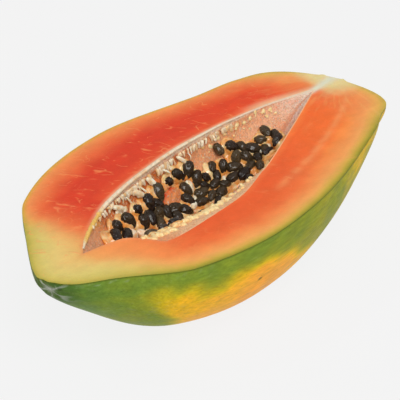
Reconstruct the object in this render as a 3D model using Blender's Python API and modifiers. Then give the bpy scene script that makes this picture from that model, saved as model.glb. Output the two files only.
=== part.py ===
"""Half of a ripe papaya, cut lengthways, with its seeds still in the hollow.

The half rests on its skin with the cut face up and level. +X points to the stem end, +Y across the
fruit and +Z up. The origin is under the middle of the fruit, on the small flat that it rests on.
All lengths are in metres.
"""

import math
import random

import bmesh
import bpy
from mathutils import Matrix, Vector

MM = 0.001
COLLECTION = "papaya_half"

# The fruit is an ellipsoid whose girth changes along it: each pair is a place along the fruit and half
# the girth there, in millimetres, to the far side, to the near side and down to the underside.
HALF_LENGTH = 100 * MM
CUT_HEIGHT = 50 * MM
AXIS_Y = -1 * MM
FAR_GIRTH = ((-100, 24), (-80, 40), (-60, 52), (-35, 53.5), (0, 52.5), (50, 47), (75, 53), (100, 74))
NEAR_GIRTH = ((-100, 42), (-88, 38), (-60, 52), (-30, 52.5), (0, 51), (50, 49), (80, 54), (100, 84))
DEPTH_GIRTH = ((-100, 30), (-80, 38), (-50, 49), (0, 51), (30, 48.5), (55, 43), (80, 33), (100, 34))
SQUARENESS = 2.1

# The stem end is blunt, reaches further on its near side, and carries a slightly raised scar.
STEM_TRIM = 0.7 * MM
STEM_LEAN = 0.08
STEM_LEAN_START = 60 * MM
STEM_SCAR_Y = 3.2 * MM
STEM_SCAR_RADIUS = 5 * MM
STEM_SCAR_RISE = 0.7 * MM

# The hollow: where its two rims run on the cut face and how deep its floor is, each as a place along
# the fruit and a value there, in millimetres from the middle of the cut face.
HOLLOW_START = -77
HOLLOW_END = 84
HOLLOW_FAR_RIM = ((-77, -1), (-70, 4), (-58, 10), (-40, 16), (-18, 19), (5, 20), (30, 18), (60, 12), (84, 3))
HOLLOW_NEAR_RIM = (
    (-77, -1), (-60, -6), (-56, -10), (-51, -21), (-40, -23), (-10, -24), (15, -19), (45, -10), (84, 3),
)
HOLLOW_FLOOR = ((-77, 0), (-60, 9), (-42, 19), (-15, 24), (18, 22), (42, 16), (60, 8), (74, 2), (84, 0))
DEEPEST = 24
CREASE_SHARES = ((-77, 0.5), (40, 0.5), (60, 0.37), (84, 0.37))
CREASE_POWER = 1.35
BOWL_POWER = 2.0

# The ledge of lining that lies just below the near rim: its width along the fruit.
LEDGE_WIDTHS = ((-56, 0), (-50, 9), (-36, 8), (-22, 6), (2, 5), (17, 0))
LEDGE_DROP = 1.6
LEDGE_SLOPE_WIDTH = 5

# The seeds, in rows along the wall: start, end (each along and across, in millimetres), how many,
# their length in millimetres, and how far they are spun on the wall, in degrees.
SEED_ROWS = (
    ((-51, 7), (-43, 9), 2, 7.2, 70),
    ((-44, 11), (-35, 13), 2, 7, 130),
    ((-26, 12), (-12, 12), 4, 6.4, 90),
    ((-19, 9), (-9, 7), 2, 6, 60),
    ((-26, 15.5), (-14, 14.5), 2, 6, 120),
    ((-17, 16), (-10, 17), 2, 7, 80),
    ((-6, 10), (-3, 8), 2, 6.2, 150),
    ((-1, 18), (5, 18), 2, 6, 150),
    ((11, 17), (13, 14), 2, 6.6, 40),
    ((3, 11), (5, 14), 2, 6.4, 110),
    ((7, 6), (11, 9), 2, 6, 150),
    ((14, 12), (18, 13), 2, 6, 150),
    ((13, 6), (19, 9), 2, 6, 20),
    ((18, 4), (23, 6), 2, 6, 160),
    ((23, 11), (24, 14), 2, 6, 40),
    ((29, 11), (36, 10), 2, 6, 60),
    ((32, 8), (39, 7), 2, 6.4, 120),
    ((31, 16), (31, 16), 1, 6, 75),
    ((37, 13), (42, 11), 2, 6, 110),
    ((28, 5), (33, 3), 2, 6.2, 160),
    ((37, 2), (48, 2), 3, 6, 30),
    ((45, 7), (50, 7), 2, 6.2, 120),
    ((54, 6), (55, 3), 2, 6, 60),
    ((38, -4), (52, -3), 3, 6, 20),
    ((-48, -6), (-36, -10), 3, 6.2, 5),
    ((10, -8), (30, -4), 4, 6, 20),
    ((-44, 2), (-10, 2), 6, 6, 40),
    ((-28, -7), (2, -6), 5, 6, 10),
    ((2, 0), (12, 0), 2, 6, 0),
)
SEED_JITTER = 0.3
SEED_SPIN_JITTER = math.radians(22)
SEED_WIDTH = 0.76
SEED_HEIGHT = 0.68
SEED_LENGTH_SPREAD = 0.12
SEED_LEAN = 0.5
SEED_GAP = 1.0
SEED_PACKING = 0.74
SETTLING_STEPS = 40
SEED_RANDOM = 7

# The thin bed of pulp that carries the seeds, and the gap between it and the fruit's wall.
GAP = 0.8 * MM
BED_THICKNESS = 1.4 * MM
BED_START = -57.5
BED_END = 64
BED_SHARE_FAR = 0.95
BED_SHARE_NEAR = 0.8
BED_ROUNDING = 0.3

RINGS = 36
SEGMENTS = 44
BED_RINGS = 24
BED_SEGMENTS = 28
SEED_RINGS = 4
SEED_SEGMENTS = 7


def clear_scene():
    for item in list(bpy.data.objects):
        bpy.data.objects.remove(item)


def new_collection(name):
    collection = bpy.data.collections.new(name)
    bpy.context.scene.collection.children.link(collection)
    return collection


def new_object(name, mesh_source, collection):
    mesh = bpy.data.meshes.new(name)
    mesh_source.to_mesh(mesh)
    mesh_source.free()
    item = bpy.data.objects.new(name, mesh)
    collection.objects.link(item)
    return item


def plain_material(name, color, roughness):
    material = bpy.data.materials.new(name)
    material.use_nodes = True
    shader = material.node_tree.nodes["Principled BSDF"]
    shader.inputs["Base Color"].default_value = (*color, 1)
    shader.inputs["Roughness"].default_value = roughness
    shader.inputs["Metallic"].default_value = 0
    return material


def smooth_step(value):
    value = min(max(value, 0), 1)
    return value * value * (3 - 2 * value)


def knot_slopes(knots):
    """Slopes at the knots that keep the curve through them from overshooting."""
    steps = [(b[1] - a[1]) / (b[0] - a[0]) for a, b in zip(knots, knots[1:])]
    inner = [0 if a * b <= 0 else 2 * a * b / (a + b) for a, b in zip(steps, steps[1:])]
    return [steps[0], *inner, steps[-1]]


def knot_value(knots, place):
    """Value at a place on the smooth curve through the knots."""
    slopes = knot_slopes(knots)
    place = min(max(place, knots[0][0]), knots[-1][0])
    index = max(i for i, knot in enumerate(knots[:-1]) if knot[0] <= place)
    start, end = knots[index], knots[index + 1]
    span = end[0] - start[0]
    t = (place - start[0]) / span
    rise = t * t * (3 - 2 * t)
    leave = t * (1 - t) ** 2 * span * slopes[index]
    arrive = t * t * (t - 1) * span * slopes[index + 1]
    return start[1] * (1 - rise) + end[1] * rise + leave + arrive


def fruit_point(turn, angle):
    """Point of the skin: turn runs from the blossom end to the stem end, angle from far to near."""
    reach = math.sin(math.pi * turn)
    across = math.copysign(abs(math.cos(angle)) ** (2 / SQUARENESS), math.cos(angle))
    down = abs(math.sin(angle)) ** (2 / SQUARENESS)
    x = -HALF_LENGTH * math.cos(math.pi * turn)
    side = FAR_GIRTH if across > 0 else NEAR_GIRTH
    y = knot_value(side, x / MM) * MM * reach * across
    z = -knot_value(DEPTH_GIRTH, x / MM) * MM * reach * down
    if x > 0:
        x *= 1 - STEM_TRIM / HALF_LENGTH
        x -= STEM_LEAN * y * smooth_step((x - STEM_LEAN_START) / (HALF_LENGTH - STEM_LEAN_START))
        on_scar = smooth_step(2 - math.hypot(y - STEM_SCAR_Y, z) / STEM_SCAR_RADIUS * 1.2)
        x += STEM_SCAR_RISE * on_scar
    return Vector((x, y, z))


def wall_curve(reach, power):
    """Depth of the wall, from 1 at the crease to 0 at the rim."""
    return max(0, 1 - min(1, reach) ** power) ** (1 / power)


def hollow_crease(x):
    """Where the lowest line of the hollow runs between its rims, in millimetres."""
    far = knot_value(HOLLOW_FAR_RIM, x)
    near = knot_value(HOLLOW_NEAR_RIM, x)
    return near + (far - near) * knot_value(CREASE_SHARES, x)


def hollow_depth(x, y):
    """Depth of the hollow below the cut face, in millimetres, 0 outside its rims."""
    far = knot_value(HOLLOW_FAR_RIM, x)
    near = knot_value(HOLLOW_NEAR_RIM, x)
    if not near < y < far:
        return 0
    floor = knot_value(HOLLOW_FLOOR, x)
    crease = hollow_crease(x)
    power = CREASE_POWER + (BOWL_POWER - CREASE_POWER) * floor / DEEPEST
    if y >= crease:
        return floor * wall_curve((y - crease) / (far - crease), power)
    ledge = knot_value(LEDGE_WIDTHS, x)
    drop = LEDGE_DROP * min(1, ledge / LEDGE_SLOPE_WIDTH)
    if y < near + ledge:
        return drop * smooth_step((y - near) / ledge)
    reach = (crease - y) / (crease - near - ledge)
    return drop + (floor - drop) * wall_curve(reach, power)


def hollow_point(turn, angle):
    """Point of the hollow's wall: turn runs from blossom to stem end, angle from far to near."""
    middle = (HOLLOW_START + HOLLOW_END) / 2
    x = middle - (HOLLOW_END - HOLLOW_START) / 2 * math.cos(math.pi * turn)
    far = knot_value(HOLLOW_FAR_RIM, x)
    near = knot_value(HOLLOW_NEAR_RIM, x)
    crease = hollow_crease(x)
    across = math.cos(angle)
    y = crease + (far - crease if across > 0 else crease - near) * across
    return Vector((x, y, -hollow_depth(x, y))) * MM


def hollow_normal(x, y):
    """Direction square to the hollow's wall, into the hollow."""
    step = 0.3
    along = hollow_depth(x + step, y) - hollow_depth(x - step, y)
    across = hollow_depth(x, y + step) - hollow_depth(x, y - step)
    return Vector((along, across, 2 * step)).normalized()


def half_sphere(rings, segments, point_at):
    """Lower half of a sphere with its poles on X, open at the top, each point moved by point_at."""
    shape = bmesh.new()
    bmesh.ops.create_uvsphere(shape, u_segments=segments, v_segments=rings, radius=1)
    sideways = Matrix.Rotation(math.pi / 2, 3, "Y")
    bmesh.ops.rotate(shape, verts=shape.verts, cent=(0, 0, 0), matrix=sideways)
    upper = [vert for vert in shape.verts if vert.co.z > 1e-4]
    bmesh.ops.delete(shape, geom=upper, context="VERTS")
    for vert in shape.verts:
        turn = math.acos(min(max(-vert.co.x, -1), 1)) / math.pi
        angle = math.atan2(max(-vert.co.z, 0), vert.co.y)
        vert.co = point_at(turn, angle)
    return shape


def flesh_mesh():
    """The whole half: skin, hollow and the flat cut face between their rims."""
    shape = half_sphere(RINGS, SEGMENTS, fruit_point)
    hollow = half_sphere(RINGS, SEGMENTS, hollow_point)
    hollow_data = bpy.data.meshes.new("hollow")
    hollow.to_mesh(hollow_data)
    hollow.free()
    shape.from_mesh(hollow_data)
    bpy.data.meshes.remove(hollow_data)
    rims = [edge for edge in shape.edges if edge.is_boundary]
    bmesh.ops.triangle_fill(shape, edges=rims, use_beauty=True)
    bmesh.ops.translate(shape, verts=shape.verts, vec=(0, AXIS_Y, CUT_HEIGHT))
    everything = [*shape.verts, *shape.edges, *shape.faces]
    bmesh.ops.bisect_plane(shape, geom=everything, plane_co=(0, 0, 0), plane_no=(0, 0, -1), clear_outer=True)
    rest = [edge for edge in shape.edges if edge.is_boundary]
    bmesh.ops.holes_fill(shape, edges=rest, sides=0)
    bmesh.ops.recalc_face_normals(shape, faces=shape.faces)
    return shape


class Seed:
    """One seed: where its middle is, how long it is and how it lies, in millimetres."""

    def __init__(self, x, y, length, spin, lean):
        self.length = length
        self.radii = Vector((length / 2, length * SEED_WIDTH / 2, length * SEED_HEIGHT / 2))
        normal = hollow_normal(x, y)
        upright = Vector((0, 0, 1)).rotation_difference(normal).to_matrix()
        turned = Matrix.Rotation(spin, 3, "Z") @ Matrix.Rotation(lean, 3, "Y")
        self.rotation = upright @ turned
        self.middle = Vector((x, y, -hollow_depth(x, y)))
        self.middle += normal * self.rest_height(normal)

    def rest_height(self, normal):
        """How far the middle stands off a wall with that normal."""
        local = self.rotation.transposed() @ normal
        reach = Vector([radius * part for radius, part in zip(self.radii, local)]).length
        return reach + SEED_GAP

    def stay_on_wall(self):
        """Brings the middle back to its rest height above the wall below it."""
        foot_normal = hollow_normal(self.middle.x, self.middle.y)
        height = (self.middle.z + hollow_depth(self.middle.x, self.middle.y)) * foot_normal.z
        self.middle += foot_normal * (self.rest_height(foot_normal) - height)


def place_seeds():
    """Seeds along their rows, then pushed apart and back onto the wall until they settle."""
    rng = random.Random(SEED_RANDOM)
    seeds = []
    for start, end, count, length, spin in SEED_ROWS:
        for index in range(count):
            part = index / max(1, count - 1)
            x = start[0] + (end[0] - start[0]) * part + rng.uniform(-SEED_JITTER, SEED_JITTER)
            y = start[1] + (end[1] - start[1]) * part + rng.uniform(-SEED_JITTER, SEED_JITTER)
            size = length * (1 + rng.uniform(-SEED_LENGTH_SPREAD, SEED_LENGTH_SPREAD))
            turned = math.radians(spin) + rng.uniform(-SEED_SPIN_JITTER, SEED_SPIN_JITTER)
            lean = rng.uniform(-SEED_LEAN, SEED_LEAN)
            seeds.append(Seed(x, y, size, turned, lean))
    for _ in range(SETTLING_STEPS):
        push_apart(seeds)
        for seed in seeds:
            seed.stay_on_wall()
    return seeds


def push_apart(seeds):
    for index, seed in enumerate(seeds):
        for other in seeds[index + 1:]:
            between = other.middle - seed.middle
            room = SEED_PACKING * (seed.length + other.length) / 2
            short = room - between.length
            if short > 0:
                move = between.normalized() * short / 2
                other.middle += move
                seed.middle -= move


def seed_bodies(seeds):
    """All the seeds as plain rounded bodies in one mesh."""
    shape = bmesh.new()
    for seed in seeds:
        place = Matrix.Translation(seed.middle * MM + Vector((0, AXIS_Y, CUT_HEIGHT)))
        size = Matrix.Diagonal([*(radius * MM for radius in seed.radii), 1])
        matrix = place @ seed.rotation.to_4x4() @ size
        bmesh.ops.create_uvsphere(
            shape, u_segments=SEED_SEGMENTS, v_segments=SEED_RINGS, radius=1, matrix=matrix
        )
    return shape


def bed_point(turn, angle):
    """Point of the hollow's wall under the seeds, inside an outline that is rounded at both ends."""
    middle = (BED_START + BED_END) / 2
    x = middle - (BED_END - BED_START) / 2 * math.cos(math.pi * turn)
    far = knot_value(HOLLOW_FAR_RIM, x)
    near = knot_value(HOLLOW_NEAR_RIM, x)
    crease = hollow_crease(x)
    reach = (far - crease) * BED_SHARE_FAR
    if math.cos(angle) < 0:
        reach = (crease - near - knot_value(LEDGE_WIDTHS, x)) * BED_SHARE_NEAR
    y = crease + reach * math.cos(angle) * math.sin(math.pi * turn) ** BED_ROUNDING
    foot = Vector((x, y, -hollow_depth(x, y)))
    return foot * MM + hollow_normal(x, y) * GAP


def bed_mesh():
    """The patch of pulp under the seeds, as a surface lifted off the wall by the gap."""
    shape = half_sphere(BED_RINGS, BED_SEGMENTS, bed_point)
    bmesh.ops.translate(shape, verts=shape.verts, vec=(0, AXIS_Y, CUT_HEIGHT))
    return shape


def add_flesh(collection):
    flesh = new_object("papaya_flesh", flesh_mesh(), collection)
    flesh.data.materials.append(plain_material("flesh", (0.84, 0.22, 0.06), 0.5))
    flesh.data.shade_smooth()
    flesh.data.set_sharp_from_angle(angle=math.radians(40))


def add_seeds(collection, guides):
    seeds = place_seeds()
    bodies = new_object("seed_bodies", seed_bodies(seeds), guides)
    bodies.hide_render = True
    bodies.display_type = "WIRE"
    cluster = new_object("seed_cluster", bed_mesh(), collection)
    cluster.data.materials.append(plain_material("seeds", (0.03, 0.025, 0.02), 0.35))
    bed = cluster.modifiers.new("bed", "SOLIDIFY")
    bed.thickness = BED_THICKNESS
    bed.offset = -1
    join = cluster.modifiers.new("seeds", "BOOLEAN")
    join.operation = "UNION"
    join.solver = "EXACT"
    join.use_self = True
    join.object = bodies


def main():
    clear_scene()
    parts = new_collection(COLLECTION)
    guides = new_collection("guides")
    add_flesh(parts)
    add_seeds(parts, guides)


main()
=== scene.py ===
"""Looks of the papaya half: fine skin, cut flesh, lining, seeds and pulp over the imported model.

+X points to the stem end, +Y to the far side and +Z up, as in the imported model. Shapes are worked
out in millimetres from the middle of the cut face and moved into the frame at the end.
"""

import math
import random

import bmesh
import bpy
import numpy as np
from mathutils import Matrix, Vector, noise


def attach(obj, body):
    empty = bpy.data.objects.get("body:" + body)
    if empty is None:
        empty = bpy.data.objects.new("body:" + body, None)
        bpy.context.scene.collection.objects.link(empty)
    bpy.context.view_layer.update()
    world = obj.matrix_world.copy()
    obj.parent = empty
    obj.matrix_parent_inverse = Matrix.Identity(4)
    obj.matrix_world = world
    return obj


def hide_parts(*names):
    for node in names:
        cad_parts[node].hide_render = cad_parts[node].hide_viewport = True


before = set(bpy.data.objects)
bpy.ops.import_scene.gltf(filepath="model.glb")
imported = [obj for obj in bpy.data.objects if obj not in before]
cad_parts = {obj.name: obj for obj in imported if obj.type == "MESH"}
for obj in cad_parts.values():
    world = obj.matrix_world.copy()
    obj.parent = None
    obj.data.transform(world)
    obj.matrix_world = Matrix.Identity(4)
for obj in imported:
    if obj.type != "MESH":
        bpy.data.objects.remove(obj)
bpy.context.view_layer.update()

MM = 0.001
FACE_CENTRE = Vector((0, -1, 50))

# The fruit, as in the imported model: half its girth at places along it, to the far side, to the near
# side and down to the underside.
HALF_LENGTH = 100
FAR_GIRTH = ((-100, 24), (-80, 40), (-60, 52), (-35, 53.5), (0, 52.5), (50, 47), (75, 53), (100, 74))
NEAR_GIRTH = ((-100, 42), (-88, 38), (-60, 52), (-30, 52.5), (0, 51), (50, 49), (80, 54), (100, 84))
DEPTH_GIRTH = ((-100, 30), (-80, 38), (-50, 49), (0, 51), (30, 48.5), (55, 43), (80, 33), (100, 34))
SQUARENESS = 2.1
STEM_TRIM = 0.7
STEM_LEAN = 0.08
STEM_LEAN_START = 60
STEM_SCAR_Y = 3.2
STEM_SCAR_RADIUS = 5
STEM_SCAR_RISE = 0.7

# The hollow: its rims on the cut face and its floor, as places along the fruit and values there.
HOLLOW_START = -77
HOLLOW_END = 84
HOLLOW_FAR_RIM = ((-77, -1), (-70, 4), (-58, 10), (-40, 16), (-18, 19), (5, 20), (30, 18), (60, 12), (84, 3))
HOLLOW_NEAR_RIM = (
    (-77, -1), (-60, -6), (-56, -10), (-51, -21), (-40, -23), (-10, -24), (15, -19), (45, -10), (84, 3),
)
HOLLOW_FLOOR = ((-77, 0), (-60, 9), (-42, 19), (-15, 24), (18, 22), (42, 16), (60, 8), (74, 2), (84, 0))
DEEPEST = 24
CREASE_SHARES = ((-77, 0.5), (40, 0.5), (60, 0.37), (84, 0.37))
CREASE_POWER = 1.35
BOWL_POWER = 2.0
LEDGE_WIDTHS = ((-56, 0), (-50, 9), (-36, 8), (-22, 6), (2, 5), (17, 0))
LEDGE_DROP = 1.6
LEDGE_SLOPE_WIDTH = 5

# How finely the fruit is divided.
TURNS = 220
SKIN_ANGLES = 88
FACE_STEPS = 76
WALL_ANGLES = 132

# The seeds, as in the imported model: rows along the wall, how many in each, their length, and how
# far they are spun on the wall, in degrees.
SEED_ROWS = (
    ((-51, 7), (-43, 9), 2, 7.2, 70),
    ((-44, 11), (-35, 13), 2, 7, 130),
    ((-26, 12), (-12, 12), 4, 6.4, 90),
    ((-19, 9), (-9, 7), 2, 6, 60),
    ((-26, 15.5), (-14, 14.5), 2, 6, 120),
    ((-17, 16), (-10, 17), 2, 7, 80),
    ((-6, 10), (-3, 8), 2, 6.2, 150),
    ((-1, 18), (5, 18), 2, 6, 150),
    ((11, 17), (13, 14), 2, 6.6, 40),
    ((3, 11), (5, 14), 2, 6.4, 110),
    ((7, 6), (11, 9), 2, 6, 150),
    ((14, 12), (18, 13), 2, 6, 150),
    ((13, 6), (19, 9), 2, 6, 20),
    ((18, 4), (23, 6), 2, 6, 160),
    ((23, 11), (24, 14), 2, 6, 40),
    ((29, 11), (36, 10), 2, 6, 60),
    ((32, 8), (39, 7), 2, 6.4, 120),
    ((31, 16), (31, 16), 1, 6, 75),
    ((37, 13), (42, 11), 2, 6, 110),
    ((28, 5), (33, 3), 2, 6.2, 160),
    ((37, 2), (48, 2), 3, 6, 30),
    ((45, 7), (50, 7), 2, 6.2, 120),
    ((54, 6), (55, 3), 2, 6, 60),
    ((38, -4), (52, -3), 3, 6, 20),
    ((-48, -6), (-36, -10), 3, 6.2, 5),
    ((10, -8), (30, -4), 4, 6, 20),
    ((-44, 2), (-10, 2), 6, 6, 40),
    ((-28, -7), (2, -6), 5, 6, 10),
    ((2, 0), (12, 0), 2, 6, 0),
)
SEED_JITTER = 0.3
SEED_SPIN_JITTER = math.radians(22)
SEED_WIDTH = 0.76
SEED_HEIGHT = 0.68
SEED_LENGTH_SPREAD = 0.12
SEED_LEAN = 0.5
SEED_GAP = 1.0
SEED_PACKING = 0.74
SETTLING_STEPS = 40
SEED_RANDOM = 7
SEED_TURNS = 26
SEED_SIDES = 36
SEED_SHAPE = (1.1, 0.98, 0.94)
# Seeds caught in the pulp just under the ledge: place, length and spin in degrees.
CAUGHT_SEEDS = (((-46, -10, -3.5), 7, 0), ((-40, -11, -3.5), 6, 20), ((-34, -12, -3.5), 7, 10))
# A seed this near the far rim beyond this place lies alone, without gel.
BARE_START = 26
BARE_WIDTH = 5

# Colours of the cut flesh as screen values, from the skin (0) to the hollow's rim (1).
FAR_FLESH = (
    (0.00, 200, 164, 60), (0.025, 224, 160, 72), (0.07, 238, 146, 82), (0.15, 236, 128, 72),
    (0.27, 230, 104, 58), (0.38, 222, 80, 46), (0.48, 216, 64, 38), (0.78, 218, 66, 38),
    (0.90, 224, 80, 44), (1.00, 228, 98, 56),
)
NEAR_FLESH = (
    (0.00, 134, 134, 38), (0.04, 180, 160, 56), (0.09, 214, 168, 76), (0.17, 238, 162, 90),
    (0.30, 240, 140, 76), (0.44, 235, 114, 60), (0.60, 230, 98, 48), (0.90, 231, 94, 46),
    (1.00, 238, 114, 60),
)
BLOSSOM_FLESH = (
    (0.00, 172, 162, 66), (0.08, 202, 182, 90), (0.26, 216, 196, 112), (0.52, 226, 194, 116),
    (0.80, 231, 188, 112), (1.00, 228, 178, 102),
)
STEM_FLESH = (
    (0.00, 190, 168, 72), (0.10, 228, 172, 86), (0.24, 240, 154, 88), (0.50, 238, 131, 70),
    (0.85, 236, 118, 65), (1.00, 238, 124, 70),
)
# How red the flesh may get near the blossom end, as the place on those scales that it stops at.
FAR_CAP = ((-80, 0.12), (-72, 0.15), (-66, 0.20), (-60, 0.29), (-54, 0.38), (-48, 0.48), (-40, 1))
NEAR_CAP = ((-82, 0.16), (-74, 0.24), (-68, 0.28), (-60, 0.31), (-52, 0.42), (-40, 0.6), (-30, 1))
# How fast the near side reddens from the skin inwards.
NEAR_STRETCH = ((-80, 0.55), (-60, 0.62), (-40, 0.8), (-20, 0.95), (0, 1))
# A pale band of veins runs along the near side of the cut: places along and across.
VEIN_BAND = ((0, -33), (40, -27), (75, -17), (92, -9))
# Colours of the skin, from green (0) to ripe (1).
SKIN_RIPENESS = (
    (0.00, 70, 103, 43), (0.18, 102, 131, 49), (0.32, 122, 138, 42), (0.45, 152, 150, 38),
    (0.58, 190, 168, 30), (0.72, 230, 176, 32), (0.86, 242, 170, 52), (1.00, 236, 150, 58),
)
# Colours of the lining on the far and the near wall, at places along the fruit.
FAR_WALL = (
    (-77, 222, 160, 118), (-62, 226, 166, 124), (-52, 222, 146, 92), (-30, 232, 148, 90),
    (-10, 228, 144, 88), (12, 230, 160, 112), (40, 232, 166, 118), (62, 230, 170, 132),
    (74, 228, 194, 172), (84, 224, 208, 188),
)
NEAR_WALL = (
    (-77, 226, 178, 116), (-55, 238, 160, 110), (20, 238, 160, 110), (46, 238, 186, 156),
    (70, 238, 204, 186), (84, 236, 216, 196),
)
# Painted shadow and shade on the lining, dark brown-red: the shadow under a seed and shade in crevices and
# holes where the lining is torn: along, across, length, width, strength.
PAINTED_SHADOW_SPOTS = (
    (-19.5, 14.6, 2.8, 1.8, 0.85), (-5, 16.2, 7, 0.8, 0.7), (-26, 12, 3, 1.4, 0.5),
    (6, 16.6, 2.4, 1.2, 0.5),
)
# The flesh turns more orange towards the stem end: added share of red, green and blue.
STEM_GLOW = (0.11, 0.3, 0.0)
# Width of the cream strip on the cut face along the far rim, at places along the fruit.
RIM_STRIP = ((-77, 0.25), (-40, 0.4), (22, 0.45), (60, 0.6), (84, 1.8))
CREAM = (230, 212, 186)
SCAR_WHITE = (224, 226, 203)
SCAR_YELLOW = (228, 207, 144)
SCAR_GREY = (112, 126, 92)
CORK = (206, 204, 196)
CORK_EYE = (150, 96, 86)


def smooth_step(value):
    """Eases from 0 to 1 as the value runs from 0 to 1, and stays level outside."""
    value = np.clip(value, 0, 1)
    return value * value * (3 - 2 * value)


def knot_slopes(knots):
    """Slopes at the knots that keep the curve through them from overshooting."""
    steps = [(b[1] - a[1]) / (b[0] - a[0]) for a, b in zip(knots, knots[1:])]
    inner = [0 if a * b <= 0 else 2 * a * b / (a + b) for a, b in zip(steps, steps[1:])]
    return np.array([steps[0], *inner, steps[-1]])


def knot_value(knots, place):
    """Value at a place on the smooth curve through the knots."""
    slopes = knot_slopes(knots)
    places = np.array([knot[0] for knot in knots])
    values = np.array([knot[1] for knot in knots])
    place = np.clip(place, places[0], places[-1])
    index = np.clip(np.searchsorted(places, place, side="right") - 1, 0, len(knots) - 2)
    span = places[index + 1] - places[index]
    t = (place - places[index]) / span
    rise = t * t * (3 - 2 * t)
    leave = t * (1 - t) ** 2 * span * slopes[index]
    arrive = t * t * (t - 1) * span * slopes[index + 1]
    return values[index] * (1 - rise) + values[index + 1] * rise + leave + arrive


def fruit_points(turn, angle):
    """Points of the skin: turn runs from blossom end to stem end, angle from far to near."""
    reach = np.sin(math.pi * turn)
    power = 2 / SQUARENESS
    across = np.sign(np.cos(angle)) * np.abs(np.cos(angle)) ** power
    down = np.abs(np.sin(angle)) ** power
    x = -HALF_LENGTH * np.cos(math.pi * turn)
    y = np.where(across > 0, knot_value(FAR_GIRTH, x), knot_value(NEAR_GIRTH, x)) * reach * across
    z = -knot_value(DEPTH_GIRTH, x) * reach * down
    stem_x = x * (1 - STEM_TRIM / HALF_LENGTH)
    leaning = smooth_step((stem_x - STEM_LEAN_START) / (HALF_LENGTH - STEM_LEAN_START))
    stem_x = stem_x - STEM_LEAN * y * leaning
    stem_x = stem_x + STEM_SCAR_RISE * smooth_step(2 - np.hypot(y - STEM_SCAR_Y, z) / STEM_SCAR_RADIUS * 1.2)
    return np.stack([np.where(x > 0, stem_x, x), y, z], axis=-1)


def wall_curve(reach, power):
    """Depth of the wall, from 1 at the crease to 0 at the rim."""
    return np.maximum(0, 1 - np.clip(reach, 0, 1) ** power) ** (1 / power)


def hollow_crease(x):
    """Where the lowest line of the hollow runs between its rims."""
    far = knot_value(HOLLOW_FAR_RIM, x)
    near = knot_value(HOLLOW_NEAR_RIM, x)
    return near + (far - near) * knot_value(CREASE_SHARES, x)


def hollow_depth(x, y):
    """Depth of the hollow below the cut face, 0 outside its rims."""
    far = knot_value(HOLLOW_FAR_RIM, x)
    near = knot_value(HOLLOW_NEAR_RIM, x)
    floor = knot_value(HOLLOW_FLOOR, x)
    crease = hollow_crease(x)
    power = CREASE_POWER + (BOWL_POWER - CREASE_POWER) * floor / DEEPEST
    far_depth = floor * wall_curve((y - crease) / np.maximum(far - crease, 1e-6), power)
    ledge = knot_value(LEDGE_WIDTHS, x)
    drop = LEDGE_DROP * np.minimum(1, ledge / LEDGE_SLOPE_WIDTH)
    ledge_depth = drop * smooth_step((y - near) / np.maximum(ledge, 1e-6))
    near_reach = (crease - y) / np.maximum(crease - near - ledge, 1e-6)
    near_depth = drop + (floor - drop) * wall_curve(near_reach, power)
    near_side = np.where(y < near + ledge, ledge_depth, near_depth)
    depth = np.where(y >= crease, far_depth, near_side)
    return np.where((y > near) & (y < far), depth, 0)


def hollow_points(turn, angle):
    """Points of the hollow's wall: turn runs from blossom to stem end, angle from far to near."""
    middle = (HOLLOW_START + HOLLOW_END) / 2
    x = middle - (HOLLOW_END - HOLLOW_START) / 2 * np.cos(math.pi * turn)
    far = knot_value(HOLLOW_FAR_RIM, x)
    near = knot_value(HOLLOW_NEAR_RIM, x)
    crease = hollow_crease(x)
    across = np.cos(angle)
    y = crease + np.where(across > 0, far - crease, crease - near) * across
    return np.stack([x, y, -hollow_depth(x, y)], axis=-1)


def hollow_normals(x, y, step=0.3):
    """Directions square to the hollow's wall, into the hollow."""
    along = hollow_depth(x + step, y) - hollow_depth(x - step, y)
    across = hollow_depth(x, y + step) - hollow_depth(x, y - step)
    normal = np.stack([along, across, np.full_like(along, 2 * step)], axis=-1)
    return normal / np.linalg.norm(normal, axis=-1, keepdims=True)


def wall_place(x, share, lift=0.0):
    """A place above the wall: share runs from -1 at the near rim to 1 at the far rim."""
    far = knot_value(HOLLOW_FAR_RIM, x)
    near = knot_value(HOLLOW_NEAR_RIM, x)
    y = (far + near) / 2 + (far - near) / 2 * share
    normal = hollow_normals(np.float64(x), y)
    return Vector((x, y, -hollow_depth(x, y))) + Vector(normal) * lift


def to_linear(color):
    """Screen values from 0 to 255 as the linear light that materials use."""
    value = np.asarray(color, dtype=float) / 255
    return np.where(value <= 0.04045, value / 12.92, ((value + 0.055) / 1.055) ** 2.4)


def ramp(stops, value):
    """Linear colour at a value, between stops given as (value, red, green, blue)."""
    places = [stop[0] for stop in stops]
    colors = to_linear([stop[1:] for stop in stops])
    return np.stack([np.interp(value, places, colors[:, i]) for i in range(3)], axis=-1)


def blend_value(base, other, weight):
    """A number part of the way from base to other."""
    return base * (1 - weight) + other * weight


def blend(base, other, weight):
    """Colours part of the way from base to other."""
    weight = np.asarray(weight)[..., None]
    return base * (1 - weight) + other * weight


def stain(tint, color, weight):
    """Colours part of the way from a tint to a screen colour."""
    return blend(tint, to_linear(color), weight)


def waves(points, size, offset=0.0, stretch=(1, 1, 1)):
    """Soft noise, about -1 to 1, over an array of points, with bumps of about that size."""
    flat = points.reshape(-1, 3) / (np.array(stretch) * size) + (offset, 2.1 * offset, 0.7)
    values = [noise.noise(place) for place in flat.tolist()]
    return np.array(values).reshape(points.shape[:-1])


def fibres(points, size, offset=0.0, stretch=(1, 1, 1)):
    """Noise with sharp crests, 0 to 1, over an array of points."""
    return 1 - np.abs(waves(points, size, offset, stretch)) * 2.2


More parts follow.
